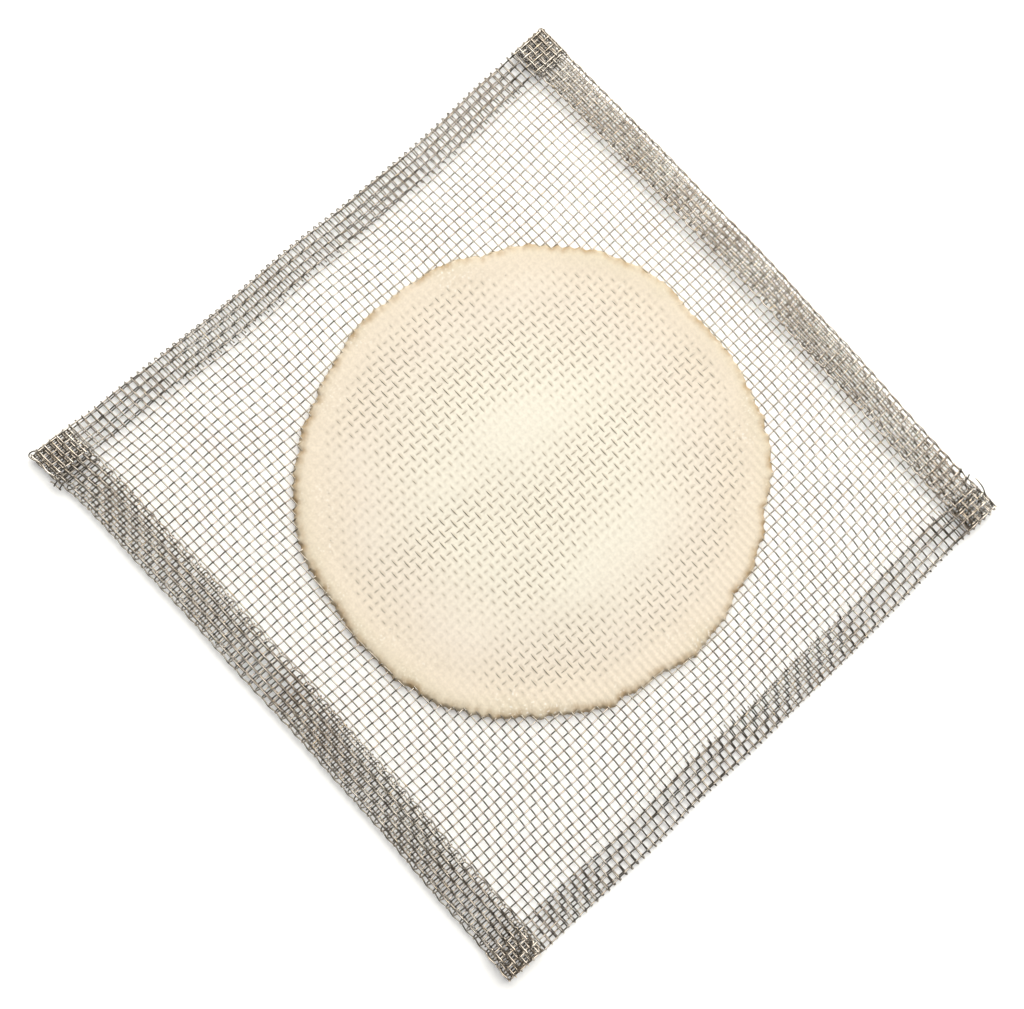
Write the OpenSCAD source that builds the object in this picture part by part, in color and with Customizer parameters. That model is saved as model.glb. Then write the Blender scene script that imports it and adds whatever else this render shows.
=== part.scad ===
// Wire gauze: a square of plain-woven steel wire cloth, hemmed on all four sides, with a
// round ceramic centre pressed through its mesh.
// Millimetres, +Z up. The origin is under the middle of the square, on the face it lies on.
//
// The cloth is one wall. Its field is a plain weave of strands, each a few wires laid side by
// side. The left and right sides are folded over twice, which hides their cut edge. The top
// and bottom sides are then folded over once, so each corner is the whole side hem turned
// back over itself, and the single layer between two corners climbs onto those stacks.

/* [Cloth] */
// Length of the gauze along X, over its folds
side_x = 125; // [115:1:160]
// Length of the gauze along Y, over its folds
side_y = 125; // [115:1:160]
// Diameter of the drawn wire
wire_d = 0.28; // [0.24:0.01:0.32]
// Spacing of the wires that run along Y
pitch_x = 1.40; // [1.2:0.05:1.6]
// Spacing of the wires that run along X
pitch_y = 1.73; // [1.5:0.05:1.9]
// Wires laid side by side in a strand of the field
strand_wires = 3; // [2:1:4]
// Gaps of the field, counted along X
gaps_x = 12; // [10:1:14]
// Gaps of the field, counted along Y
gaps_y = 10; // [8:1:12]

/* [Hems] */
// Width of the left hem, folded twice
hem_left = 7.6; // [6.5:0.1:9]
// Width of the right hem, folded twice
hem_right = 7.2; // [6.5:0.1:9]
// Width of the top hem, folded once
hem_top = 6.3; // [5.5:0.1:8]
// Width of the bottom hem, folded once
hem_bottom = 6.8; // [5.5:0.1:8]
// Slack between two folded layers
layer_gap = 0.14; // [0.08:0.02:0.2]

/* [Ceramic centre] */
// Diameter of the ceramic centre, over its widest places
disc_d = 90; // [80:0.5:92]
// Place of its middle along X
disc_x = 2.1; // [-3:0.1:3]
// Place of its middle along Y
disc_y = -0.5; // [-3:0.1:3]
// Ceramic above the upper wires, where a vessel stands
coat_over = 0.35; // [0.2:0.05:0.8]
// Ceramic below the lower wires, which the gauze lies on
coat_under = 1.1; // [0.6:0.1:1.6]
// How far in from the rim its rounding begins
rim_round = 1.6; // [0.8:0.1:2]
// How far the rim wanders in and out, as the paste stopped from mesh to mesh
rim_wander = 1.2; // [0.1:0.1:1.5]
// Corners of the uneven rim
rim_corners = 48; // [36:1:60]

/* [Hidden] */

// A layer of cloth is two wires thick. Inside the hems its web is one wire thick, and the
// wires on top stand proud of it as ridges.
layer_t = 2 * wire_d;
web_t = wire_d;

// The cloth lies in the ceramic, whose underside is the face that the gauze lies on.
cloth_z = coat_under;
disc_h = coat_under + layer_t + coat_over;

// The open field, inside the hems.
field_left = hem_left - side_x / 2;
field_right = side_x / 2 - hem_right;
field_top = side_y / 2 - hem_top;
field_bottom = hem_bottom - side_y / 2;

// Spacing and width of the strands, and how far their ends reach into the hems.
step_x = (field_right - field_left) / gaps_x;
step_y = (field_top - field_bottom) / gaps_y;
strand_w = strand_wires * wire_d;
strand_tuck = 1;

// Heights of the folded edges: two layers along the top and bottom, three along the sides,
// and twice three at the corners.
layer_step = layer_t + layer_gap;
edge_h = layer_t + layer_step;
side_h = layer_t + 2 * layer_step;
corner_h = 2 * side_h + layer_gap;

// The upper layer of a top or bottom hem climbs to the corner over the hem's last gap.
climb_run = step_x - strand_w;

// Segments of a full turn of a fold.
fold_fn = 16;

// Stands a profile drawn in X and Z on the cloth's underside, and gives it a width along Y.
module along_y(y, width) {
    translate([0, y + width / 2, cloth_z]) rotate([90, 0, 0]) linear_extrude(width) children();
}

// The same for a profile drawn in Y and Z, with its width along X.
module along_x(x, width) {
    translate([x - width / 2, 0, cloth_z]) rotate([90, 0, 90]) linear_extrude(width) children();
}

// ---- Field ----

// Side view of strand number own, which passes over and under the strands across it: flat
// where it crosses one, sloping between, and halfway up in the hems at its ends.
function woven(first, last, count, own) =
    let (
        step = (last - first) / count,
        lower = concat(
            [[first - strand_tuck, wire_d / 2]],
            [for (k = [1 : count - 1], side = [-1, 1])
                [first + k * step + side * strand_w / 2, (k + own) % 2 * wire_d]],
            [[last + strand_tuck, wire_d / 2]])
    ) concat(lower, [for (k = [len(lower) - 1 : -1 : 0]) lower[k] + [0, wire_d]]);

module field() {
    for (j = [1 : gaps_y - 1])
        along_y(field_bottom + j * step_y, strand_w)
            polygon(woven(field_left, field_right, gaps_x, j));
    for (i = [1 : gaps_x - 1])
        along_x(field_left + i * step_x, strand_w)
            polygon(woven(field_bottom, field_top, gaps_y, i + 1));
}

// ---- Hems, drawn from the fold at 0 inwards, and up from the cloth's underside ----

// A straight layer, number n counted from below.
module layer(n, from, to, thick) {
    translate([from, layer_t / 2 + n * layer_step - thick / 2]) square([to - from, thick]);
}

// A fold that turns the cloth over: half a disc, on the +X side of its middle if inner.
module fold(at, height, reach, inner = false) {
    translate([at, height]) intersection() {
        circle(reach, $fn = fold_fn);
        translate([inner ? 0 : -reach, -reach]) square([reach, 2 * reach]);
    }
}

// Where the cloth of a side hem turns back inwards for the second time.
function side_turn(width) = width - edge_h / 2;

// Section of a side hem: the cloth turned up and over, with its cut edge tucked back inside.
module side_section(width) {
    layer(0, side_h / 2, width, web_t);
    difference() {
        fold(side_h / 2, side_h / 2, layer_step + web_t / 2);
        fold(side_h / 2, side_h / 2, layer_step - web_t / 2);
    }
    layer(2, side_h / 2, side_turn(width), web_t);
    fold(side_turn(width), side_h - edge_h / 2, (layer_step + web_t) / 2, inner = true);
    layer(1, side_h / 2, side_turn(width), web_t);
}

// A wire at u that runs along a hem, proud of the top layer of a hem this high.
module ridge(u, high) {
    translate([u - wire_d / 2, high - layer_t / 2]) square([wire_d, layer_t / 2]);
}

// Places of the wires that run along a side hem, from its turn outwards.
function side_wires(width) = [for (u = [side_turn(width) : -pitch_x : side_h / 2 - wire_d]) u];

// A strand of the field where it runs on over a side hem and down round its fold. As the weave
// alternates, every second strand passes over the wire in the fold and shows there.
module side_strand(width) {
    translate([side_h / 2, side_h - layer_t / 2])
        square([side_turn(width) - side_h / 2, layer_t / 2]);
    difference() {
        fold(side_h / 2, side_h / 2, side_h / 2);
        fold(side_h / 2, side_h / 2, layer_step);
    }
}

// Section of a top or bottom hem: the cloth turned up and over once.
module edge_section(width) {
    layer(0, edge_h / 2, width, web_t);
    fold(edge_h / 2, edge_h / 2, (layer_step + web_t) / 2);
    layer(1, edge_h / 2, width, web_t);
}

// Places of the wires that run along a top or bottom hem, from its cut edge outwards.
function edge_wires(width) = [for (u = [width - wire_d / 2 : -pitch_y : edge_h / 2]) u];

module edge_strand(width) {
    translate([edge_h / 2, edge_h - layer_t / 2]) square([width - edge_h / 2, layer_t / 2]);
    fold(edge_h / 2, edge_h / 2, edge_h / 2);
}

// The left hem with the corners at its ends. Mirrored, it is the right.
module side_hem(width) {
    low = corner_h / 2 - side_y / 2;
    high = side_y / 2 - corner_h / 2;
    along_y((low + high) / 2, high - low) {
        side_section(width);
        for (u = side_wires(width)) ridge(u, side_h);
    }
    for (j = [2 : 2 : gaps_y - 1])
        along_y(field_bottom + j * step_y, strand_w) side_strand(width);
    corner(width, low, hem_bottom, -1);
    corner(width, high, hem_top, 1);
}

// A corner: the side hem turned over at y, towards way, and run back over itself.
module corner(width, y, back, way) {
    run = back - corner_h / 2;
    translate([0, y, cloth_z + corner_h / 2]) scale([1, way, 1]) rotate([0, 90, 0])
        rotate_extrude(angle = 180, $fn = fold_fn)
            translate([corner_h / 2, 0]) rotate(90) side_section(width);
    along_y(y - way * run / 2, run) translate([0, corner_h]) mirror([0, 1]) side_section(width);
    for (u = edge_wires(back))
        if (u > corner_h / 2)
            along_y(y + way * (corner_h / 2 - u), wire_d)
                translate([side_h / 2, corner_h - layer_t / 2])
                    square([width - side_h / 2, layer_t / 2]);
}

// The bottom hem between the corners. Mirrored, it is the top.
module edge_hem(width) {
    first = field_left + climb_run;
    last = field_right - climb_run;
    along_x((first + last) / 2, last - first) {
        edge_section(width);
        for (u = edge_wires(width)) ridge(u, edge_h);
    }
    for (i = [2 : 2 : gaps_x - 1])
        along_x(field_left + i * step_x, strand_w) edge_strand(width);
    climb(width, first, field_left);
    climb(width, last, field_right);
}

// The end of that hem, where its upper layer climbs from the height at from to the corner.
module climb(width, from, to) {
    clear = corner_h / 2;
    along_x((from + to) / 2, climb_run) layer(0, clear, width, web_t);
    along_y((width + clear) / 2, width - clear) climbing_layer(from, to, web_t);
    for (u = edge_wires(width))
        if (u > clear) along_y(u, wire_d) climbing_layer(from, to, layer_t);
    hull() {
        fold_slice(from, edge_h, clear);
        fold_slice(to, corner_h, clear);
    }
}

module climbing_layer(from, to, thick) {
    low = edge_h - (layer_t + thick) / 2;
    high = corner_h - (layer_t + thick) / 2;
    polygon([[from, low], [to, high], [to, high + thick], [from, low + thick]]);
}

// A slice across that end, from its round fold to where its two layers part.
module fold_slice(x, high, reach) {
    along_x(x, 0.02) {
        intersection() {
            translate([high / 2, high / 2]) circle(d = high, $fn = fold_fn);
            square([high / 2, high]);
        }
        translate([reach - 0.02, 0]) square([0.02, high]);
    }
}

module wire_cloth() {
    color("dimgray") {
        field();
        translate([-side_x / 2, 0, 0]) side_hem(hem_left);
        translate([side_x / 2, 0, 0]) mirror([1, 0, 0]) side_hem(hem_right);
        translate([0, -side_y / 2, 0]) edge_hem(hem_bottom);
        translate([0, side_y / 2, 0]) mirror([0, 1, 0]) edge_hem(hem_top);
    }
}

// ---- Ceramic centre ----

// Half an ellipse from the underside to the top, which rounds the rim.
function rim_profile() =
    [for (a = [-90 : 22.5 : 90])
        [disc_d / 2 - rim_round * (1 - cos(a)), disc_h / 2 * (1 + sin(a))]];

// Reach of the paste at corner s of its uneven outline, which is a little longer along X.
function rim_reach(s) =
    disc_d / 2 - rim_wander * (0.5 - 0.3 * cos(720 * s / rim_corners) + 0.2 * cos(71 * s));

module ceramic_centre() {
    outline = [for (s = [0 : rim_corners - 1])
        rim_reach(s) * [cos(s * 360 / rim_corners), sin(s * 360 / rim_corners)]];
    color("antiquewhite") difference() {
        translate([disc_x, disc_y, 0]) intersection() {
            rotate_extrude($fn = 120) polygon(concat([[0, 0]], rim_profile(), [[0, disc_h]]));
            linear_extrude(disc_h) polygon(outline);
        }
        field();
    }
}

wire_cloth();
ceramic_centre();
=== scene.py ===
# %% [markdown]
# # A wire gauze, dressed in Blender
#
# A wire gauze is the square of woven steel wire that a beaker stands on over
# a burner. Its edges are folded over so that no cut wire pricks a finger, and
# a round pad of fired ceramic paste in its middle spreads the heat.
#
# The construction model gives the sizes. Its cloth is drawn with a few broad
# strands. Here the same cloth is woven again, wire by wire, and the pad gets
# its uneven, mesh-printed surface. Everything lies in the same frame, in
# metres, so nothing has to be fitted.

import math

import bmesh
import bpy
import numpy as np
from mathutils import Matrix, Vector, noise


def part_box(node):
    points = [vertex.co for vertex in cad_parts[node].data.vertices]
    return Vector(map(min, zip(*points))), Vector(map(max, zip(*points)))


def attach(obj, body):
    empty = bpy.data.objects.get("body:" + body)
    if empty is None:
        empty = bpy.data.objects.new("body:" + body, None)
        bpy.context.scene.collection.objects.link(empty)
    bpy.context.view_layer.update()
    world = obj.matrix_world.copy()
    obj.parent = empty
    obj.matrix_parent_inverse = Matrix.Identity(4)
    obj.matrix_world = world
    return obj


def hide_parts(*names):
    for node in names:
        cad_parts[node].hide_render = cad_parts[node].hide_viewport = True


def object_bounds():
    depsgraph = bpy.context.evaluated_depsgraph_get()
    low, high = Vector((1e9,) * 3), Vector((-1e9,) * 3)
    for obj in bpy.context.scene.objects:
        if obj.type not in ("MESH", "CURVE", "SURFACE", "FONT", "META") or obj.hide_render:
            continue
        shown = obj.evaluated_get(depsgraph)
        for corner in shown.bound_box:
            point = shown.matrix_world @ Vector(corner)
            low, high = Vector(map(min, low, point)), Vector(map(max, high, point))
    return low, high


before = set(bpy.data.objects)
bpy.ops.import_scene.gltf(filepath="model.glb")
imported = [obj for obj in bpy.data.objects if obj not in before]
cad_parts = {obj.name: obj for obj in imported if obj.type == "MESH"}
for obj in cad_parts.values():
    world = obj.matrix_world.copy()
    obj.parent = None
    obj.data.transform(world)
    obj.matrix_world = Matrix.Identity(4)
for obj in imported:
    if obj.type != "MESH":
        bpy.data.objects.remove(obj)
box_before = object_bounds()
MM = 0.001
cloth_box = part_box("wire_cloth")
pad_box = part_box("ceramic_centre")
print("nodes:", sorted(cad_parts))
print("cloth box in mm:", [round(c / MM, 2) for corner in cloth_box for c in corner])

# %% [markdown]
# ## The sizes of the cloth
#
# The cloth is a plain weave: each wire goes over one crossing wire and under
# the next. One set of wires is closer together than the other, as in the
# standard cloth with 18 wires to the inch one way and 14.5 the other. The
# warp wires run up the gauze, along Y, and the weft wires across it, along X.
#
# All lengths here are in millimetres. They could be read off the model one by
# one, but a weave is easier to follow when its few numbers stand together.

# %% The wires and their weave, in millimetres
side = (cloth_box[1].x - cloth_box[0].x) / MM
half = side / 2
wire_d = 0.28
pitch_x = 1.407  # from one warp wire to the next
pitch_y = 1.734  # from one weft wire to the next
# The two rises together make one wire, so that crossing wires just touch.
over_y = 0.155  # how far a warp wire rises over a weft wire
over_x = 0.125  # how far a weft wire rises over a warp wire
coat_under = 1.10  # paste below the cloth
cloth_mid = coat_under + wire_d
print("side", round(side, 2), "middle of the cloth at height", round(cloth_mid, 2))

# %% The hems and their layers, in millimetres
hems = {"left": 8.2, "right": 7.55, "top": 6.9, "bottom": 6.9}
layer_t = 2 * wire_d
layer_step = 0.62  # from one folded layer to the next
nested = 0.75  # the share of their height that layers keep where a corner presses them into each other
edge_centre = layer_step / 2  # height about which two layers fold
corner_centre = 2.5 * layer_step * nested  # height about which the six layers of a corner fold
tuck_extra = 0.3  # how much further the hidden layer of a side runs than the layer over it
print("hems", hems, "corner folds about", round(corner_centre, 2))

# %% The pad, in millimetres
pad_mid = Vector((2.1, -0.5, 0))
pad_r = (pad_box[1].x - pad_box[0].x + pad_box[1].y - pad_box[0].y) / 4 / MM
print("pad radius", round(pad_r, 2), "at", [round(c, 2) for c in pad_mid[:2]])


def ease(low, high, value):
    """0 below low, 1 above high, and a soft step between them."""
    t = np.clip((value - low) / (high - low), 0, 1)
    return t * t * (3 - 2 * t)


# %% [markdown]
# ## Folding the cloth
#
# A hem can be modelled by hand, layer by layer, but about a hundred wires
# pass through each one, and where two hems cross there are six layers. It is
# simpler to do what the maker did: start from one flat sheet and fold it. A
# fold is a rule that moves any point of the flat sheet to its place in the
# folded one. Each wire is then drawn on the flat sheet and the rule carries
# it round.
#
# The left and right sides are rolled first. The sheet turns up and over,
# runs back, turns again and ends between the other two layers, so its cut
# edge is hidden. Then the top and bottom are folded over once, corners and
# all, and their cut wire ends stay in sight.


# %% The side hems: rolled twice
first_r, second_r = layer_step, layer_step / 2  # radii of the outer turn and of the turn back
out = first_r + layer_t / 2  # from the edge of the gauze to the middle of the outer turn
ripple = 0.12  # how much a folded layer creeps outwards between its turns


def roll_side(s, lift):
    """Where a point of the flat sheet lies once its side is rolled.

    s is its place across the sheet and lift its height above it. Gives x, the
    height, and how far the point is through the first and the second turn.
    """
    hem = np.where(s > 0, hems["right"], hems["left"])
    turn_in = hem - (second_r + layer_t / 2)
    # How far past the start and the end of each turn the point is.
    into_first = np.abs(s) - (half - out)
    past_first = into_first - math.pi * first_r
    into_second = past_first - (turn_in - out)
    past_second = into_second - math.pi * second_r
    a = np.clip(into_first / first_r, 0, math.pi)
    b = np.clip(into_second / second_r, 0, math.pi)
    # u is measured inwards from the edge and h upwards. nu and nh are the sheet's upward side.
    u = out - np.minimum(into_first, 0)
    u = np.where(into_first > 0, out - first_r * np.sin(a), u)
    h = np.where(into_first > 0, first_r * (1 - np.cos(a)), 0.0)
    nu = np.where(into_first > 0, np.sin(a), 0.0)
    nh = np.where(into_first > 0, np.cos(a), 1.0)
    u = np.where(past_first > 0, out + past_first, u)
    u = np.where(into_second > 0, turn_in + second_r * np.sin(b), u)
    h = np.where(into_second > 0, 2 * first_r - second_r * (1 - np.cos(b)), h)
    nu = np.where(into_second > 0, -np.sin(b), nu)
    nh = np.where(into_second > 0, -np.cos(b), nh)
    u = np.where(past_second > 0, turn_in - past_second, u)
    u = u + ripple * np.sin(math.pi * np.clip(past_first / (turn_in - out), 0, 1))
    u, h = u + lift * nu, h + lift * nh
    return np.where(s > 0, half - u, u - half), h, a / math.pi, b / math.pi


def side_sheet(name):
    """How far the flat sheet reaches past the middle on that side."""
    run = hems[name] - (second_r + layer_t / 2) - out
    return half - out + math.pi * (first_r + second_r) + run + run + tuck_extra


print("flat sheet, across:", round(-side_sheet("left"), 1), "to", round(side_sheet("right"), 1), "mm")


# %% The top and bottom hems: folded once, over the rolled corners
climb_start, climb_end = 5.5, 0.2  # how far beyond a side hem the fold begins and ends its climb
nest_run = 4  # over how long a way a side hem closes up before it enters a corner
flattened = 0.45  # how much flatter than a half round the fat fold of a corner is


def fold_over(x, t, h):
    """Carries a point of the rolled sheet round the top or bottom fold.

    t is its place along the sheet and h its height. At the corners the fold is
    fat, because it goes round three layers. Gives x, y, the height, and how
    far the point is through the turn.
    """
    inner = np.where(x > 0, hems["right"], hems["left"])
    corner = 1 - ease(inner + climb_end, inner + climb_start, half - np.abs(x))
    mid = edge_centre + (corner_centre - edge_centre) * corner
    back = np.where(t > 0, hems["top"], hems["bottom"])
    h = h * (1 - (1 - nested) * corner * ease(half - back - nest_run, half - back, np.abs(t)))
    pressed = 1 - flattened * corner
    # A point turns at an even pace, so the wires stay evenly spaced round the fold.
    pace = edge_centre + (mid * pressed - edge_centre) * 2 / math.pi
    start = half - mid * pressed - layer_t / 2
    into = np.abs(t) - start
    turn = np.clip(into / pace, 0, math.pi)
    v = np.where(into > 0, start + (mid - h) * pressed * np.sin(turn), np.abs(t))
    z = np.where(into > 0, mid - (mid - h) * np.cos(turn), h)
    past = into - math.pi * pace
    v = np.where(past > 0, start - past, v)
    return x, np.sign(t) * v, z, turn / math.pi


def edge_sheet(name):
    """How far the flat sheet reaches past the middle on the top or bottom."""
    run = hems[name] - edge_centre - layer_t / 2
    return half - edge_centre - layer_t / 2 + math.pi * edge_centre + run


print("flat sheet, along:", round(-edge_sheet("bottom"), 1), "to", round(edge_sheet("top"), 1), "mm")

# %% [markdown]
# ## A used cloth is not flat and not square
#
# Woven wire is soft. In a gauze that has been handled the rows drift, the
# sides bow, and the folded layers slide over each other. A simulation could
# bend the cloth, but it would choose its own shape. Here slow waves are added
# to the sheet before and after it is folded. They are the same for all
# wires, so that crossings stay crossings. Each wire then gets a little
# wander of its own, from a seeded generator, so that every run gives the
# same gauze.

# %% Drifting rows and sliding layers
chance = np.random.default_rng(18)


def drift(s, t):
    """Slow waves that shift the rows of the flat sheet, in mm."""
    dx = 0.22 * np.sin(t / 9.7 + 0.6) * np.sin(s / 17 + 1.1) + 0.12 * np.sin(t / 4.1 + s / 11 + 2.0)
    dy = 0.25 * np.sin(s / 10.3 + 0.2) * np.sin(t / 14 + 0.4) + 0.12 * np.sin(s / 4.7 - t / 13)
    return dx, dy


def slip(along, seed, size):
    """How far a folded layer has slid along its hem, out of step with the layer below, in mm."""
    return size * (np.sin(along / 19 + seed) + 0.7 * np.sin(along / 8.3 + 2.6 * seed))


print("rows drift by", np.round(drift(20.0, 20.0), 2), "mm at one point of the sheet")

# %% [markdown]
# ### The bow of the four sides
#
# No side of the gauze is straight. The whole square bows towards one corner,
# and each side then has its own bulges and pulled-in places, some near its
# middle and some at its ends. A lattice could push the mesh about, but the
# pad has to follow the same bow, so it is written as a rule on x and y.

# %% Bow
bow_x, bow_y = 0.93, -1.25  # how far the middle of the gauze stands off a line between its corners
bow_from, bow_to = 25, 58  # a side's own bulges grow between these distances from the middle


def bulge(at, middle, wide):
    """1 in the middle of a soft bulge and 0 well away from it."""
    return np.exp(-(((at - middle) / wide) ** 2))


def bow(x, y):
    """How far the finished gauze is pushed out of its square, in mm, each way."""
    right = 0.60 + 0.40 * bulge(y, 6, 18) - 0.20 * bulge(y, 50, 9) + 0.70 * ease(50, 62, -y)
    left = 0.62 * ease(48, 60, y) - 0.25
    top = 0.35 + 0.45 * bulge(x, -3, 10) - 0.20 * bulge(x, -22, 9) + 0.55 * ease(25, 55, x)
    top = top + 0.35 * bulge(x, 45, 9) - 0.30 * ease(30, 60, -x)
    bottom = 0.22 + 0.15 * bulge(x, 27, 12) - 0.30 * bulge(x, -15, 8) + 0.20 * bulge(x, -31, 9)
    bottom = bottom - 0.12 * bulge(x, 13, 9) + 0.50 * ease(50, 62, x)
    push_x = bow_x * (1 - (y / half) ** 2)
    push_x = push_x + right * ease(bow_from, bow_to, x) - left * ease(bow_from, bow_to, -x)
    push_y = bow_y * (1 - (x / half) ** 2)
    push_y = push_y + top * ease(bow_from, bow_to, y) - bottom * ease(bow_from, bow_to, -y)
    return push_x, push_y


print("the right side bulges by", round(float(bow(half, 6)[0]), 2), "mm at most")

# %% [markdown]
# ### The sag of the hems
#
# The gauze rests on its pad, which holds the cloth a millimetre above the
# bench. The hems have been pressed down in use, a little less on the left,
# so they hang lower than the field. Every wire could be bent for that, but
# lowering the finished sheet by a soft step bends them all alike, and keeps
# the field flat where the paste holds it.

# %% Sag
sag_depth = 0.85
sag_left = 0.6  # the left side sags by this share of the depth
sag_from, sag_to = 46, 60


def settle(x, y, z):
    """Bows the folded gauze, and lets its hems sag towards the bench."""
    push_x, push_y = bow(x, y)
    sides = ease(sag_from, sag_to, x) + sag_left * ease(sag_from, sag_to, -x)
    sag = sag_depth * (1 - (1 - sides) * (1 - ease(sag_from, sag_to, np.abs(y))))
    return x + push_x, y + push_y, cloth_mid + z - sag


print("hems hang", sag_depth, "mm lower than the field")

# %% [markdown]
# ### Painted light on the wires
#
# In the hems and corners each crossing gets a painted highlight on top and
# painted shade on its flanks, and the layers below are painted dark as shade
# where the layers cover each other. A texture can't know which layer a wire
# is in, but the fold does. So the rule that lays a point also gives the
# painted light there, and the mesh keeps that number as an attribute for its material.

# %% Painted light: highlight and shade on the wires
plain = 1.0
# Painted shade: a wire two or more layers down in a corner keeps this share of its colour.
buried_shade = 0.65  # two or more layers down in a corner
# Painted highlight on top of a crossing in a hem, and painted shade below it.
painted_crown_light = 0.26  # how much brighter a wire is on top of a crossing in a hem, and darker below
mean_lift = 0.14  # the usual height of a crossing


def painted_light(x, y, first, second, over, lift):
    """The painted light on a wire there: a painted highlight on top of its crossings in the hems, and
    painted shade below.
    """
    in_roll = half - np.abs(x) < np.where(x > 0, hems["right"], hems["left"])
    in_fold = half - np.abs(y) < np.where(y > 0, hems["top"], hems["bottom"])
    # above counts the layers that lie over the point, and crown is 1 on the side that faces up.
    above = np.where(first < 0.5, 2.0 * in_roll, np.where(second < 0.5, 0.0, 1.0))
    above_folded = 2.0 * in_roll - above
    above = np.where(over > 0.5, above_folded, above + np.where(in_fold, 1.0 + 2.0 * in_roll, 0.0))
    faces_down = (first > 0.5) & (second < 0.5)
    crown = np.where(faces_down, -1.0, 1.0) * np.where(over > 0.5, -1.0, 1.0) * lift / mean_lift
    corner = np.where(above > 1.5, buried_shade, 1.25 - 0.25 * above + (0.50 - 0.10 * above) * crown)
    # Painted light: the corners on the left are painted a quarter lighter, and the side hems lighter than
    # the top and bottom hems.
    corner = corner * np.where(x > 0, 1.0, 1.25)
    hem = np.where(in_roll, np.where(x > 0, 1.22, 1.02), 0.84) - 0.05 * above + painted_crown_light * crown
    return np.where(in_roll & in_fold, corner, np.where(in_roll | in_fold, hem, plain))


print("shine runs from", buried_shade, "in a corner's depth to", plain, "in the field")

# %% [markdown]
# ### From the flat sheet to the finished gauze
#
# One rule now does it all: drift, roll, slide, fold, bow and sag. The folded
# layers slide by part of a mesh, because the wires of one layer drop into
# the gaps of the next, and that closes the hems to the eye.

# %% Lay
calm_hems = 0.6  # rows drift less in the hems
roll_slip, fold_slip = 0.18, 0.10


def lay(s, t, lift):
    """A point of the flat sheet in the finished gauze, in mm, and the painted light on the wire there."""
    dx, dy = drift(s, t)
    inside = (np.abs(s) < half - 1) & (np.abs(t) < half - 1)
    calm = np.where(inside, 1.0, calm_hems)
    x, h, first, second = roll_side(s, lift)
    way = np.where(s > 0, 1.0, 4.0)
    slid = ease(0, 1, first) * (pitch_y / 3 + slip(t, way, roll_slip))
    slid = slid + ease(0, 1, second) * (pitch_y / 3 + slip(t, way + 2, roll_slip))
    x, y, z, over = fold_over(x + dx * calm, t + dy * calm + slid, h)
    beside_top = 0.65 * ease(-56, -22, x) * (1 - 0.7 * ease(54, 61, x))
    beside = np.where(t > 0, beside_top, 0.36 * ease(-60, -44, x))
    x = x - ease(0, 1, over) * (beside + slip(x, np.where(t > 0, 2.0, 5.0), fold_slip))
    return np.stack((*settle(x, y, z), painted_light(x, y, first, second, over, lift)), axis=-1)


print("a corner of the flat square lands at", np.round(lay(half, half, 0.0)[:3], 1))

# %% [markdown]
# ## Drawing the wires
#
# Each wire is a line of points on the flat sheet. It rises over one crossing
# wire and dips under the next, along a softened cosine. A curve with a round
# bevel turns the line into a wire with closed ends. Sweeping a circle in
# mesh code would give the same tube, but the curve keeps it to a few
# settings. Six sides look round at this size.
#
# The rows of wires are counted from the turn of a fold, because the real
# cloth is folded along a wire or along a gap. A gap in the turn shows the
# crossing wires as a row of small loops, and a wire in it shows as a bar.

# %% The rows of wires on the flat sheet
side_turn = half - out + first_r * math.pi / 2  # the outermost line of a side, on the flat sheet
edge_turn = half - edge_centre - layer_t / 2 + edge_centre * math.pi / 2


def nudged(rows, pitch, low_share, high_share):
    """Rows that crowd a little towards the hems, by a share of their pitch at each end."""
    low_end, high_end = ease(half - 26, half - 12, -rows), ease(half - 26, half - 12, rows)
    return rows + pitch * (low_share * low_end + high_share * high_end)


first_warp = -int((side_sheet("left") - side_turn) / pitch_x)
last_warp = int((side_sheet("right") + side_turn) / pitch_x)
warp_s = nudged(-side_turn + pitch_x * np.arange(first_warp, last_warp + 1), pitch_x, 0.17, 0.25)
first_weft = -int((edge_sheet("bottom") - edge_turn) / pitch_y + 0.5)
last_weft = int((edge_sheet("top") + edge_turn) / pitch_y - 0.5)
weft_t = nudged(-edge_turn + pitch_y * (0.5 + np.arange(first_weft, last_weft + 1)), pitch_y, 0.08, 0.04)
n_warp, n_weft = len(warp_s), len(weft_t)
print(n_warp, "wires up the gauze and", n_weft, "across it")


# %% One wire as a line of points
def stations(low, high, rows):
    """Where along a wire its points stand, four to each crossing row, and the count of rows there."""
    before, after = 2 * rows[0] - rows[1], 2 * rows[-1] - rows[-2]
    count = np.arange(-4, 4 * len(rows) + 1) / 4
    along = np.interp(count, np.arange(-1, len(rows) + 1), np.r_[before, rows, after])
    kept = (along >= low) & (along <= high)
    return along[kept], count[kept]


def wander(along, size):
    """A wire's own small waver along its length."""
    a, b, c = chance.uniform(0, 2 * math.pi, 3)
    return size * (np.sin(along / 5.3 + a) + 0.6 * np.sin(along / 2.3 + b) + 0.8 * np.sin(along / 13 + c))


def crimp(count):
    """1 on top of a crossing wire and -1 below the next. The wire is nearly straight in between."""
    wave = np.cos(math.pi * count)
    return 0.66 * wave + 0.34 * wave**3


print("a crossing rises over", crimp(np.array([0, 0.25, 0.5])).round(2), "of its height")

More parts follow.
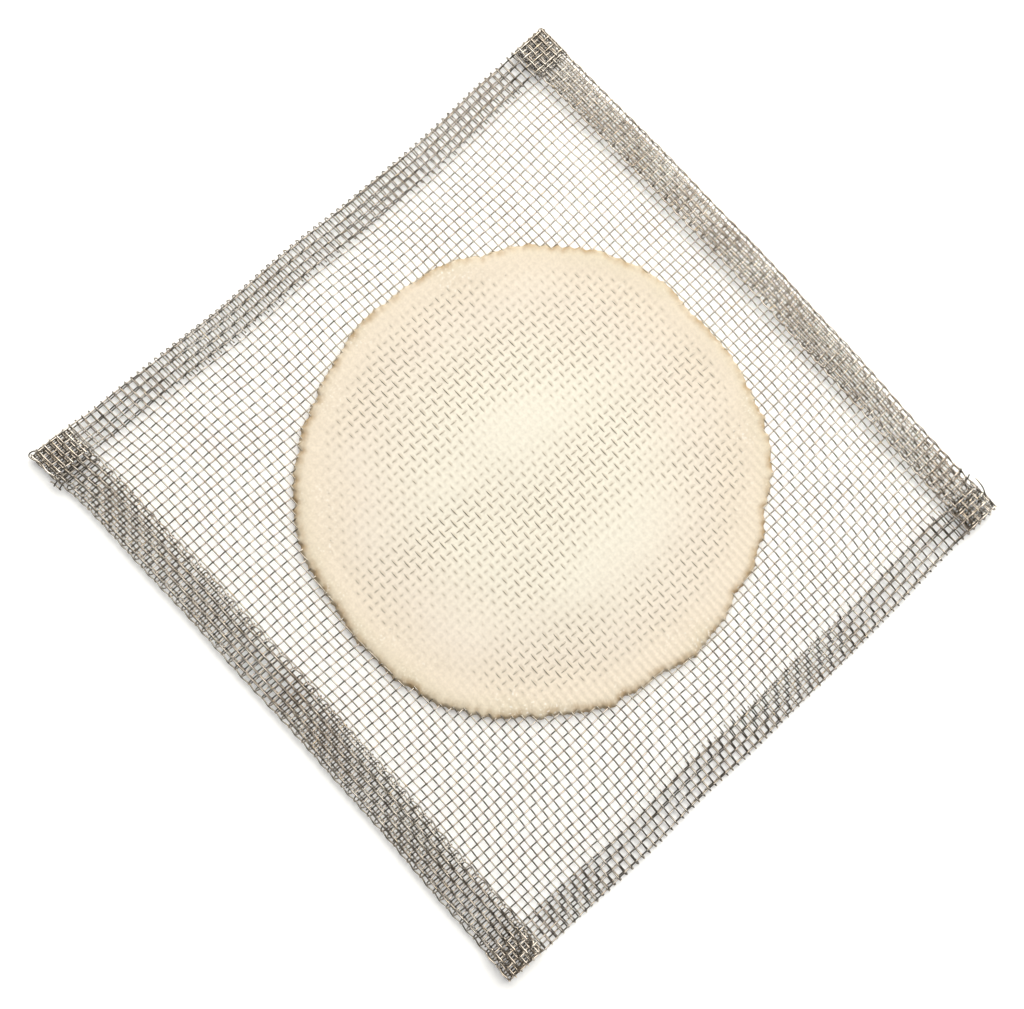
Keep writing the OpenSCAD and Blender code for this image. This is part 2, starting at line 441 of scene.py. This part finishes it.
# %% All the wires, laid in the gauze
# Each wire is cut at its own length and sits a few hundredths of a millimetre out of its row.
warp_runs, weft_runs = [], []
for i in range(n_warp):
    low = -edge_sheet("bottom") - chance.uniform(0.1, 0.7)
    high = edge_sheet("top") + chance.uniform(0.1, 0.7)
    t, j = stations(low, high, weft_t)
    lift = over_y * crimp(j + i)
    s = warp_s[i] + chance.normal(0, 0.045) + wander(t, 0.03)
    warp_runs.append(lay(s, t, lift))
for j in range(n_weft):
    low = -side_sheet("left") + chance.uniform(0, 0.4)
    high = side_sheet("right") - chance.uniform(0, 0.4)
    s, i = stations(low, high, warp_s)
    lift = -over_x * crimp(i + j)
    t = weft_t[j] + chance.normal(0, 0.055) + wander(s, 0.035)
    weft_runs.append(lay(s, t, lift))
print("points on all wires:", sum(len(run) for run in warp_runs + weft_runs))

# %% [markdown]
# ### Loose ends
#
# At two corners a cut wire has sprung out of the hem and stands off as a
# small hook, with a few short ends beside it. They follow no rule, so each
# is drawn through a few listed points and then rounded.


# %% Wires that have come loose at two corners
def rounded(points):
    """A line with its corners cut off three times over, so that it bends softly."""
    line = np.array(points, dtype=float)
    for _ in range(3):
        near, far = 0.75 * line[:-1] + 0.25 * line[1:], 0.25 * line[:-1] + 0.75 * line[1:]
        line = np.vstack([line[:1], np.stack([near, far], axis=1).reshape(-1, 3), line[-1:]])
    return np.c_[line, np.ones(len(line))]


right_hook = [(62.5, -60.4, 2.4), (62.9, -59.4, 2.6), (63.2, -58.3, 3.1)]
right_hook = right_hook + [(63.3, -57.1, 3.3), (63.4, -56.0, 3.2)]
left_hook = [(-60.5, 61.1, 1.7), (-61.9, 62.6, 1.5), (-63.1, 62.5, 1.3)]
left_hook = left_hook + [(-62.9, 61.3, 1.3), (-61.9, 59.6, 1.6)]
loose_runs = [
    rounded(right_hook),
    rounded([(62.2, -53.6, 1.4), (62.9, -53.5, 1.6), (63.2, -53.0, 1.9)]),
    rounded([(62.2, -55.3, 1.4), (63.1, -55.2, 1.7), (63.5, -54.8, 2.1)]),
    rounded(left_hook),
    rounded([(-61.0, 55.6, 1.7), (-62.2, 55.5, 1.8), (-63.3, 55.2, 1.5)]),
    rounded([(-61.2, 54.5, 1.6), (-62.0, 54.5, 1.7), (-63.0, 54.1, 1.5)]),
    rounded([(-62.8, 53.9, 1.3), (-62.9, 54.8, 1.8), (-62.9, 55.7, 1.4), (-63.2, 56.3, 1.6)]),
]
print(len(loose_runs), "loose ends")

# %% Turn lines into wires
wire_sides = 6  # as a bevel resolution of 1 gives


def make_wires(name, runs, thickness):
    """One mesh of round wires, one for each run of points in mm, with its painted light at each point."""
    curve = bpy.data.curves.new(name, "CURVE")
    curve.dimensions = "3D"
    curve.bevel_depth = thickness / 2 * MM
    curve.bevel_resolution = 1
    curve.use_fill_caps = True
    for run in runs:
        spline = curve.splines.new("POLY")
        spline.points.add(len(run) - 1)
        spline.points.foreach_set("co", np.c_[run[:, :3] * MM, np.ones(len(run))].ravel())
    line = bpy.data.objects.new(name + "_line", curve)
    mesh = bpy.data.meshes.new_from_object(line)
    bpy.data.objects.remove(line)
    mesh.name = name
    mesh.shade_smooth()
    # The mesh lists the caps first, from the last wire to the first, and then the walls.
    ends = [run[[-1, 0], 3] for run in reversed(runs)]
    along = [run[:, 3] for run in runs]
    # The painted light is kept on each point as an attribute.
    bright = mesh.attributes.new("painted_light", "FLOAT", "POINT")
    bright.data.foreach_set("value", np.repeat(np.concatenate(ends + along), wire_sides))
    bm = bmesh.new()
    bm.from_mesh(mesh)
    bmesh.ops.remove_doubles(bm, verts=bm.verts, dist=1e-6)
    bm.to_mesh(mesh)
    bm.free()
    piece = bpy.data.objects.new(name, mesh)
    bpy.context.scene.collection.objects.link(piece)
    print(name, ":", len(runs), "wires,", sum(len(p.vertices) - 2 for p in mesh.polygons), "triangles")
    return piece


# %% The wires in six pieces, so that none of them is too heavy
warp_runs = warp_runs + loose_runs
wire_pieces = []
for k in range(3):
    wire_pieces.append(make_wires(f"warp_wires_{k + 1}", warp_runs[k::3], wire_d))
for k in range(3):
    wire_pieces.append(make_wires(f"weft_wires_{k + 1}", weft_runs[k::3], wire_d))
for piece in wire_pieces:
    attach(piece, "root")
    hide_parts("wire_cloth")

# %% [markdown]
# ## The ceramic pad
#
# The paste was pressed into the mesh from both faces and fired. Its outline
# is only roughly round, because the soft paste stopped against one wire or
# the next. Where the coat is thin the tops of the wires show through it as
# short grey dashes, and where it is thick it is smooth and pale.
#
# A disc could be spun from a profile, but its points would crowd together
# in the middle. A square grid lies in step with the weave, so the print of
# the mesh falls evenly on it. The grid is cut to the outline, and its open
# edge is then extruded down and in to make the rounded rim.

# %% The outline of the pad
bulge_allowance = 0.5  # the model's radius is taken over the bulges, so the mean one is less
waves = (
    # how many round the pad, how high in mm, and where the first crest is, in radians
    (2, 0.95, 0.36),
    (3, 0.16, 2.28),
    (4, 0.34, 2.86),
    (6, 0.37, 2.79),
    (8, 0.14, 2.78),
    (13, 0.17, -2.0),
    (14, 0.11, -2.4),
)


def outline_radius(angle):
    """The pad's radius in mm in one direction: a few flats and bulges."""
    waviness = sum(high * math.cos(count * angle - start) for count, high, start in waves)
    return pad_r - bulge_allowance + waviness


radii = [outline_radius(math.radians(a)) for a in range(360)]
print("rim radius from", round(min(radii), 2), "to", round(max(radii), 2))

# %% [markdown]
# ### Where the coat is thin and thick
#
# The paste was spread by hand, so its thickness changes in long soft
# patches. A noise texture would put such patches anywhere. Here they are
# soft ovals placed one by one, as a hand would have smeared them.

# %% Places of the coat
# Each place is x, y, its half length and half width in mm, its turn in radians and its strength.
thin_places = [
    (4, 20, 19, 6, 0.0, 1.0),
    (-8, 30, 11, 4, 0.2, 1.0),
    (12, 33, 11, 3, -0.1, 0.7),
    (24, 15, 12, 7, -0.3, 0.7),
    (-18, 3, 14, 4, -0.15, 1.0),
    (-1, -6, 12, 5, -0.2, 1.0),
    (14, -5, 16, 5, 0.0, 0.9),
    (36, -5, 7, 5, 0.0, 0.8),
    (-9, -14, 8, 5, 0.0, 0.8),
    (-19, -27, 11, 6, -0.35, 1.0),
    (26, -22, 7, 8, 0.0, 0.8),
    (9, -32, 17, 4, 0.1, 0.6),
]
thick_places = [
    (6, 9, 9, 5, -0.3, 1.0),
    (-8, 9, 12, 3, 0.0, 0.35),
    (4, -21, 17, 5, -0.1, 0.9),
    (-30, -12, 9, 8, -0.4, 0.8),
    (-27, 22, 8, 15, -0.6, 0.6),
    (24, 31, 9, 5, -0.5, 0.7),
    (26, -11, 10, 3, 0.1, 0.35),
    (-15, -20, 8, 3, 0.0, 0.5),
]


def spots(x, y, places):
    """How much a point lies in any of some soft oval places."""
    most = 0.0
    for px, py, a, b, turn, strength in places:
        dx, dy = x - px, y - py
        u = (dx * math.cos(turn) + dy * math.sin(turn)) / a
        v = (-dx * math.sin(turn) + dy * math.cos(turn)) / b
        most = max(most, strength * math.exp(-((u * u + v * v) ** 1.5) * 0.7))
    return most


print(len(thin_places), "thin and", len(thick_places), "thick places")

# %% [markdown]
# ### The print of the weave
#
# The wet paste sank a little between the wires, so the coat shows low ribs
# over them. Where the coat is thin the wire below also greys it. Both depend
# on how far a point is from a wire, and the rule that laid the wires can be
# asked for that. The greying is kept as an attribute, named stain, which the
# paste's material reads.


# %% The thickness of the coat
def wires_before(x, y):
    """How many wires of each set lie before a point of the finished cloth. It is whole on top of a wire."""
    push_x, push_y = bow(x, y)
    dx, dy = drift(x - push_x, y - push_y)
    i = np.interp(x - push_x - dx, warp_s, np.arange(n_warp))
    j = np.interp(y - push_y - dy, weft_t, np.arange(n_weft))
    return float(i), float(j)


def low_side(y):
    """0 in the upper part of the pad and 1 at its bottom, where its rim is ribbed and torn the most."""
    return float(ease(10, 35, pad_mid.y - y))


# Paste over the middle of the cloth, in mm: everywhere, and more or less of it in places.
film_mean, film_rim, film_thin, film_thick = 0.195, 0.17, 0.095, 0.10
covered = 0.80  # how much of a wire's greying a thick coat hides


def coat(x, y, inward):
    """Height of the pad's top above the middle of the cloth, in mm, and how much a wire below shows through.

    inward is how far the point lies in from the rim.
    """
    rim = 1 - float(ease(1.5, 6.0 + 2.5 * ease(0, 40, pad_mid.y - y), inward))
    cloud = noise.noise(Vector((x / 7.0, y / 7.0, 3.1)))
    grain = noise.noise(Vector((x / 1.9, y / 1.9, 8.7)))
    film = film_mean + film_rim * rim
    film = film - film_thin * spots(x, y, thin_places) + film_thick * spots(x, y, thick_places)
    i, j = wires_before(x, y)
    on_warp, on_weft = math.cos(2 * math.pi * i), math.cos(2 * math.pi * j)
    warp_up, weft_up = math.cos(math.pi * (j + round(i))), -math.cos(math.pi * (i + round(j)))
    below = max(0, on_warp) * max(0, warp_up) + 0.7 * max(0, on_weft) * max(0, weft_up)
    film = film + 0.024 * cloud + 0.010 * grain
    rib = 0.010 + 0.035 * rim * low_side(y)
    return film + rib * on_warp + 0.006 * on_weft, below * (1 - covered * float(ease(0.17, 0.32, film)))


print("coat in the middle:", round(coat(pad_mid.x, pad_mid.y, pad_r)[0], 3), "mm")


# %% The torn rim
def rim_point(x, y, inset):
    """The point of the outline beyond x, y, drawn in by inset, in mm, and its radius."""
    angle = math.atan2(y - pad_mid.y, x - pad_mid.x)
    r = outline_radius(angle)
    ex, ey = pad_mid.x + r * math.cos(angle), pad_mid.y + r * math.sin(angle)
    i, j = wires_before(ex, ey)
    scallop = 0.13 * (math.cos(2 * math.pi * i) + math.cos(2 * math.pi * j))
    fine_tear = 0.35 * noise.noise(Vector((ex / 2.2, ey / 2.2, 5.0)))
    long_tear = 0.45 * noise.noise(Vector((ex / 6.5, ey / 6.5, 1.0)))
    torn = (fine_tear + long_tear) * (1 + 0.7 * low_side(ey))
    r += scallop + torn - inset
    return pad_mid.x + r * math.cos(angle), pad_mid.y + r * math.sin(angle), r


def outside_rim(mesh, inset):
    """The points of a grid that lie outside the rim when it is drawn in by inset."""
    beyond = []
    for v in mesh.verts:
        if math.hypot(v.co.x - pad_mid.x, v.co.y - pad_mid.y) > rim_point(v.co.x, v.co.y, inset)[2]:
            beyond.append(v)
    return beyond


print("rim at the right:", round(rim_point(pad_mid.x + 1, pad_mid.y, 0)[2], 2), "mm from the middle")

# %% The top of the pad: a grid in step with the weave
cell_x, cell_y = pitch_x / 4, pitch_y / 5
count_x, count_y = 2 * int((pad_r + 3.5) / cell_x), 2 * int((pad_r + 2) / cell_y)
inset_top = 0.75  # how far in from the rim the top ends and the rounding begins
bm = bmesh.new()
bmesh.ops.create_grid(bm, x_segments=count_x, y_segments=count_y, size=0.5)
bmesh.ops.scale(bm, vec=(count_x * cell_x, count_y * cell_y, 1), verts=bm.verts)
bmesh.ops.translate(bm, vec=pad_mid, verts=bm.verts)
bmesh.ops.delete(bm, geom=outside_rim(bm, inset_top + 0.2), context="VERTS")
stain, edge = bm.verts.layers.float.new("stain"), bm.verts.layers.float.new("edge")
lone = [v for v in bm.verts if len(v.link_faces) <= 1]
bmesh.ops.delete(bm, geom=lone, context="VERTS")
for v in bm.verts:
    reach = rim_point(v.co.x, v.co.y, inset_top)
    if v.is_boundary:
        v.co.x, v.co.y = reach[0], reach[1]
    inward = reach[2] + inset_top - math.hypot(v.co.x - pad_mid.x, v.co.y - pad_mid.y)
    height, v[stain] = coat(v.co.x, v.co.y, inward)
    v[edge] = 1 - float(ease(0.3, 2.0, inward))
    v.co.z = cloth_mid + height - 0.06 * (1 - float(ease(0.6, 2.2, inward)))
print("pad top:", len(bm.faces), "faces")

# %% The rim: the open edge, extruded outwards, down and in again
# Each step is how far in from the rim it ends, in mm, and at what share of the rim's height.
rim_steps = ((0.45, 0.93), (0.18, 0.78), (0.0, 0.58), (0.02, 0.38), (0.2, 0.18), (0.55, 0.05), (1.0, 0.0))
rim_high = cloth_mid + 0.30
ring = [e for e in bm.edges if e.is_boundary]
for inset, level in rim_steps:
    grown = bmesh.ops.extrude_edge_only(bm, edges=ring)["geom"]
    ring = [g for g in grown if isinstance(g, bmesh.types.BMEdge) and g.is_boundary]
    for v in {v for e in ring for v in e.verts}:
        v.co.x, v.co.y, _ = rim_point(v.co.x, v.co.y, inset)
        v.co.z = level * rim_high
        v[edge], v[stain] = 1.0, 0.0
print("with the rim:", len(bm.faces), "faces")

# %% The underside: a coarser grid with a slight wave
under_wide = 2 * pad_r + 5
under = bmesh.new()
bmesh.ops.create_grid(under, x_segments=64, y_segments=64, size=0.5)
bmesh.ops.scale(under, vec=(under_wide, under_wide, 1), verts=under.verts)
bmesh.ops.translate(under, vec=pad_mid, verts=under.verts)
bmesh.ops.delete(under, geom=outside_rim(under, 2.4), context="VERTS")
bmesh.ops.delete(under, geom=[v for v in under.verts if len(v.link_faces) <= 1], context="VERTS")
for v in under.verts:
    v.co.z = 0.0 if v.is_boundary else 0.05 + 0.05 * noise.noise(Vector((v.co.x / 5, v.co.y / 5, 20.0)))
print("underside:", len(under.faces), "faces")

# %% The underside joined to the rim
scrap = bpy.data.meshes.new("scrap")
under.to_mesh(scrap)
under.free()
bm.from_mesh(scrap)
bpy.data.meshes.remove(scrap)
bmesh.ops.triangle_fill(bm, use_beauty=True, edges=[e for e in bm.edges if e.is_boundary])
bmesh.ops.recalc_face_normals(bm, faces=bm.faces)
bmesh.ops.scale(bm, vec=(MM, MM, MM), verts=bm.verts)
pad_mesh = bpy.data.meshes.new("ceramic_pad")
open_edges = sum(e.is_boundary for e in bm.edges)
print("pad:", len(bm.faces), "faces,", open_edges, "open edges,", round(bm.calc_volume() * 1e9), "mm3")
bm.to_mesh(pad_mesh)
bm.free()
pad_mesh.shade_smooth()
pad = bpy.data.objects.new("ceramic_pad", pad_mesh)
bpy.context.scene.collection.objects.link(pad)
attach(pad, "root")
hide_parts("ceramic_centre")
print("pad triangles:", sum(len(p.vertices) - 2 for p in pad_mesh.polygons))

# %% [markdown]
# ## Materials
#
# Colours are written as on a colour card, in sRGB hex, and one function
# turns them to the linear numbers that the shader wants. Patterns read the
# Object coordinates, which are metres here, so their scale comes straight
# from a size in millimetres. They could also be painted as pictures, but
# these stay sharp at any distance and keep their true size.


# %% Three helpers for materials
def colour(card):
    """An sRGB hex colour as a linear RGBA value."""
    parts = [int(card[k : k + 2], 16) / 255 for k in (1, 3, 5)]
    return tuple(c / 12.92 if c <= 0.04045 else ((c + 0.055) / 1.055) ** 2.4 for c in parts) + (1.0,)


def add(tree, kind, links=None, **settings):
    """Adds one node. links gives sockets a value or another node's output."""
    made = tree.nodes.new(kind)
    for name, value in settings.items():
        setattr(made, name, value)
    for socket, value in (links or {}).items():
        if isinstance(value, bpy.types.NodeSocket):
            tree.links.new(value, made.inputs[socket])
        else:
            made.inputs[socket].default_value = value
    return made


def new_material(name):
    """A material whose node tree is still empty, and that tree."""
    material = bpy.data.materials.new(name)
    material.use_nodes = True
    material.node_tree.nodes.clear()
    return material, material.node_tree


print("mid grey as the shader sees it:", round(colour("#808080")[0], 3))

# %% [markdown]
# ### Drawn steel wire
#
# Bright steel wire is pulled through a die, so it is smooth along its length.
# Heat has dulled it and left a thin brown oxide, with a straw-coloured speck
# here and there. A metal gets metallic 1 and the default IOR, and its colour
# is what it reflects. In the hems a painted highlight and painted shade scale that colour.
# Inside the pad the wires are smeared with the paste, so there they turn
# matt and pale. One material for all wires keeps them alike, and a distance
# from the middle of the pad tells it where the paste begins.

# %% Steel: oxide and specks
oxide_patch = 6 * MM
speck_size = 0.9 * MM
steel, tree = new_material("drawn_steel_wire")
place = add(tree, "ShaderNodeTexCoord").outputs["Object"]
patches = add(tree, "ShaderNodeTexNoise", {"Vector": place, "Scale": 1 / oxide_patch, "Detail": 3.0})
specks = add(tree, "ShaderNodeTexNoise", {"Vector": place, "Scale": 1 / speck_size, "Detail": 1.0})
oxide = add(tree, "ShaderNodeValToRGB", {"Fac": patches.outputs["Fac"]})
for stop, (at, card) in zip(oxide.color_ramp.elements, ((0.35, "#B3ADA4"), (0.70, "#998F83"))):
    stop.position = at
    stop.color = colour(card)
gold = add(tree, "ShaderNodeValToRGB", {"Fac": specks.outputs["Fac"]})
for stop, (at, share) in zip(gold.color_ramp.elements, ((0.60, 0), (0.74, 0.6))):
    stop.position = at
    stop.color = (share, share, share, 1)
tint = add(
    tree,
    "ShaderNodeMix",
    {"Factor": gold.outputs["Color"], "A": oxide.outputs["Color"], "B": colour("#B3A182")},
    data_type="RGBA",
)
print(steel.name, "has", len(tree.nodes), "nodes for its oxide")

# %% Steel: paste on the wires inside the pad
pad_heart = (pad_mid.x * MM, pad_mid.y * MM, cloth_mid * MM)
reach = add(tree, "ShaderNodeVectorMath", {0: place, 1: pad_heart}, operation="DISTANCE")
smear = add(
    tree,
    "ShaderNodeMapRange",
    {
        "Value": reach.outputs["Value"],
        "From Min": (pad_r + 0.3) * MM,
        "From Max": (pad_r - 1.2) * MM,
        "To Min": 0.0,
        "To Max": 0.93,
    },
)
# Reads the painted light: a painted highlight on the crossings of the hems and painted shade below them.
bright = add(tree, "ShaderNodeAttribute", attribute_name="painted_light")
painted_light_tint = add(
    tree,
    "ShaderNodeVectorMath",
    {0: tint.outputs["Result"], "Scale": bright.outputs["Fac"]},
    operation="SCALE",
)
surface = add(
    tree,
    "ShaderNodeMix",
    {"Factor": smear.outputs["Result"], "A": painted_light_tint.outputs["Vector"], "B": colour("#BFB6A5")},
    data_type="RGBA",
)
metal = add(tree, "ShaderNodeMath", {0: 1.0, 1: smear.outputs["Result"]}, operation="SUBTRACT")
print("wires turn pale from", round(pad_r + 0.3, 1), "to", round(pad_r - 1.2, 1), "mm from the middle")

# %% Steel: finish
rough = add(
    tree,
    "ShaderNodeMapRange",
    {"Value": patches.outputs["Fac"], "From Min": 0.3, "From Max": 0.7, "To Min": 0.12, "To Max": 0.24},
)
shader = add(
    tree,
    "ShaderNodeBsdfPrincipled",
    {
        "Base Color": surface.outputs["Result"],
        "Metallic": metal.outputs["Value"],
        "Roughness": rough.outputs["Result"],
    },
)
add(tree, "ShaderNodeOutputMaterial", {"Surface": shader.outputs["BSDF"]})
for piece in wire_pieces:
    piece.data.materials.clear()
    piece.data.materials.append(steel)
print(steel.name, "on", len(wire_pieces), "pieces")

# %% [markdown]
# ### Fired ceramic paste
#
# The paste is clay with a filler, fired once and not glazed, so it is chalky
# and matt. It is cream in the middle and tan towards the rim, where the
# flame and the bench have marked it. Its colour is built up in layers: the
# toast of the firing, the grey of the wires below, a browner band in the
# outer 2 mm and over the rounded rim, and last the white crumbs that rub off near the edge.

# %% Paste: toasted towards the rim
cloud_size = 11 * MM
cloud_push = 7 * MM  # how far the clouds move the toast in and out
paste, tree = new_material("fired_ceramic_paste")
place = add(tree, "ShaderNodeTexCoord").outputs["Object"]
flat = add(tree, "ShaderNodeVectorMath", {0: place, 1: (1, 1, 0)}, operation="MULTIPLY")
pad_foot = (pad_mid.x * MM, pad_mid.y * MM, 0)
reach = add(tree, "ShaderNodeVectorMath", {0: flat.outputs["Vector"], 1: pad_foot}, operation="DISTANCE")
cloud = add(tree, "ShaderNodeTexNoise", {"Vector": place, "Scale": 1 / cloud_size, "Detail": 3.0})
wavy = add(
    tree,
    "ShaderNodeMath",
    {0: cloud.outputs["Fac"], 1: cloud_push, 2: reach.outputs["Value"]},
    operation="MULTIPLY_ADD",
)
outward = add(
    tree,
    "ShaderNodeMapRange",
    {"Value": wavy.outputs["Value"], "From Min": 22 * MM, "From Max": (pad_r + 3.6) * MM},
)
toast = add(tree, "ShaderNodeValToRGB", {"Fac": outward.outputs["Result"]})
toast.color_ramp.elements[0].color = colour("#EEE8D8")
toast.color_ramp.elements[1].color = colour("#DFD3BB")
toast.color_ramp.elements.new(0.55).color = colour("#EBE0D0")
toast.color_ramp.elements.new(0.85).color = colour("#E9DCC8")
print("toast in", len(toast.color_ramp.elements), "steps")

# %% Paste: the grey of the wires below
stain_strength = 0.62
stained = add(tree, "ShaderNodeAttribute", attribute_name="stain")
below = add(tree, "ShaderNodeMath", {0: stained.outputs["Fac"], 1: stain_strength}, operation="MULTIPLY")
shown = add(
    tree,
    "ShaderNodeMix",
    {"Factor": below.outputs["Value"], "A": toast.outputs["Color"], "B": colour("#A3947F")},
    data_type="RGBA",
)
print("stain at", stain_strength)

# %% Paste: browner in patches within 2 mm of the rim and over its rounded side
grit_size = 2.4 * MM
grit = add(tree, "ShaderNodeTexNoise", {"Vector": place, "Scale": 1 / grit_size, "Detail": 3.0})
patchy = add(
    tree,
    "ShaderNodeMapRange",
    {"Value": grit.outputs["Fac"], "From Min": 0.38, "From Max": 0.62, "To Min": 0.20, "To Max": 0.85},
)
at_edge = add(tree, "ShaderNodeAttribute", attribute_name="edge")
rim_brown = add(
    tree,
    "ShaderNodeMath",
    {0: at_edge.outputs["Fac"], 1: patchy.outputs["Result"]},
    operation="MULTIPLY",
)
browned = add(
    tree,
    "ShaderNodeMix",
    {"Factor": rim_brown.outputs["Value"], "A": shown.outputs["Result"], "B": colour("#B0936A")},
    data_type="RGBA",
)
print("brown patches of about", round(grit_size / MM, 1), "mm")

# %% Paste: its grain
# The true grain is finer than this. At 0.45 mm it is as coarse as it needs to be to show.
grain_size = 0.45 * MM
fine = add(tree, "ShaderNodeTexNoise", {"Vector": place, "Scale": 1 / grain_size, "Detail": 2.0})
bump = add(tree, "ShaderNodeBump", {"Height": fine.outputs["Fac"], "Strength": 0.25, "Distance": 0.05 * MM})
speckle = add(
    tree,
    "ShaderNodeMapRange",
    {"Value": fine.outputs["Fac"], "From Min": 0.3, "From Max": 0.7, "To Min": 0.93, "To Max": 1.04},
)
grained = add(
    tree,
    "ShaderNodeVectorMath",
    {0: browned.outputs["Result"], "Scale": speckle.outputs["Result"]},
    operation="SCALE",
)
print("grain of", round(grain_size / MM, 2), "mm")

# %% Paste: white crumbs near the rim
crumbs = add(
    tree,
    "ShaderNodeMapRange",
    {"Value": fine.outputs["Fac"], "From Min": 0.60, "From Max": 0.68, "To Min": 0.0, "To Max": 0.7},
)
sprinkled = add(
    tree,
    "ShaderNodeMapRange",
    {"Value": cloud.outputs["Fac"], "From Min": 0.50, "From Max": 0.62},
)
outside = add(
    tree,
    "ShaderNodeMapRange",
    {"Value": reach.outputs["Value"], "From Min": (pad_r - 9) * MM, "From Max": (pad_r - 4) * MM},
)
loose = add(
    tree,
    "ShaderNodeMath",
    {0: sprinkled.outputs["Result"], 1: outside.outputs["Result"]},
    operation="MULTIPLY",
)
crumb = add(
    tree,
    "ShaderNodeMath",
    {0: crumbs.outputs["Result"], 1: loose.outputs["Value"]},
    operation="MULTIPLY",
)
dusted = add(
    tree,
    "ShaderNodeMix",
    {"Factor": crumb.outputs["Value"], "A": grained.outputs["Vector"], "B": colour("#F6F2EA")},
    data_type="RGBA",
)
print("crumbs lie in the outer 9 mm")

# %% Paste: finish
shader = add(
    tree,
    "ShaderNodeBsdfPrincipled",
    {"Base Color": dusted.outputs["Result"], "Roughness": 0.85, "Normal": bump.outputs["Normal"]},
)
add(tree, "ShaderNodeOutputMaterial", {"Surface": shader.outputs["BSDF"]})
pad.data.materials.append(paste)
print(paste.name, "has", len(tree.nodes), "nodes")

# %% [markdown]
# ## The bench, the light and the camera
#
# The gauze lies on a white bench, one big square that takes its shadow. A
# brighter lamp would burn the bench to white and the pale paste with it. So
# the bench gets a little glow of its own instead, which only the camera and
# the mirror of the wires can see, and the light on the gauze stays plain.

# %% Bench
bench_drop = 0.0001  # metres below the gauze
bench_bm = bmesh.new()
bmesh.ops.create_grid(bench_bm, x_segments=2, y_segments=2, size=2.0)
bmesh.ops.translate(bench_bm, vec=(0, 0, box_before[0].z - bench_drop), verts=bench_bm.verts)
bench_mesh = bpy.data.meshes.new("bench")
bench_bm.to_mesh(bench_mesh)
bench_bm.free()
bench = bpy.data.objects.new("bench", bench_mesh)
bpy.context.scene.collection.objects.link(bench)
print("bench", [round(side_m, 1) for side_m in bench.dimensions[:2]], "m")

# %% The bench's surface
glow_seen, glow_mirrored = 0.34, 0.30  # in the camera, and in the wires
white, tree = new_material("white_bench")
rays = add(tree, "ShaderNodeLightPath")
mirrored = add(
    tree,
    "ShaderNodeMath",
    {0: rays.outputs["Is Glossy Ray"], 1: glow_mirrored},
    operation="MULTIPLY",
)
seen = add(
    tree,
    "ShaderNodeMath",
    {0: rays.outputs["Is Camera Ray"], 1: glow_seen, 2: mirrored.outputs["Value"]},
    operation="MULTIPLY_ADD",
)
glow = add(tree, "ShaderNodeEmission", {"Color": colour("#FFFFFF"), "Strength": seen.outputs["Value"]})
chalk = add(tree, "ShaderNodeBsdfDiffuse", {"Color": colour("#F4F4F2")})
both = add(tree, "ShaderNodeAddShader", {0: glow.outputs["Emission"], 1: chalk.outputs["BSDF"]})
add(tree, "ShaderNodeOutputMaterial", {"Surface": both.outputs["Shader"]})
bench_mesh.materials.append(white)
print(white.name, "glows at", glow_seen)

# %% [markdown]
# ### Light
#
# One broad soft lamp stands off to the right side of the gauze, like a
# window, and the room gives a weak light from everywhere. Where a wire
# slopes towards the lamp it shines, where it slopes away it stays dark, and
# that is what makes the weave sparkle. More lamps would fill the dark sides
# and flatten it.

# %% The room
room_level = 0.095
world = bpy.data.worlds.new("room")
bpy.context.scene.world = world
world.use_nodes = True
world.node_tree.nodes.clear()
room = add(world.node_tree, "ShaderNodeBackground", {"Color": colour("#FFFFFF"), "Strength": room_level})
add(world.node_tree, "ShaderNodeOutputWorld", {"Surface": room.outputs["Background"]})
print("room at", room_level)

# %% The window
window_place = (0.50, 0.25, 0.75)
window_wide, window_high = 1.30, 1.00
window_level = 4.25  # how bright its face is, where white paper in plain light is 1
window_data = bpy.data.lights.new("window", "AREA")
window_data.shape = "RECTANGLE"
window_data.size, window_data.size_y = window_wide, window_high
window_data.energy = window_level * math.pi * window_wide * window_high
window_data.color = colour("#FFFDF8")[:3]
window = bpy.data.objects.new("window", window_data)
bpy.context.scene.collection.objects.link(window)
window.location = window_place
window.rotation_euler = (-Vector(window_place)).to_track_quat("-Z", "Y").to_euler()
print("window of", round(window_data.energy, 1), "W")

# %% [markdown]
# ### Camera
#
# The camera hangs over the gauze and looks almost straight down, turned so
# that the square stands on one corner. Its place and turn can be set by eye,
# or worked out from where the four corners should fall in the picture. These
# were worked out.

# %% Camera
camera_data = bpy.data.cameras.new("camera")
camera_data.sensor_width = 36
camera_data.lens = 55.546875
camera_data.clip_start, camera_data.clip_end = 0.01, 20
camera = bpy.data.objects.new("camera", camera_data)
camera.location = (-0.06164, -0.01684, 0.28255)
camera.rotation_euler = [math.radians(turn) for turn in (10.026, -6.303, -42.900)]
bpy.context.scene.collection.objects.link(camera)
bpy.context.scene.camera = camera
bpy.context.scene.view_settings.view_transform = "Standard"
print("camera", round(camera.location.z / MM), "mm above the bench")

print("model box mm:", [round(c / MM, 2) for v in box_before for c in v])
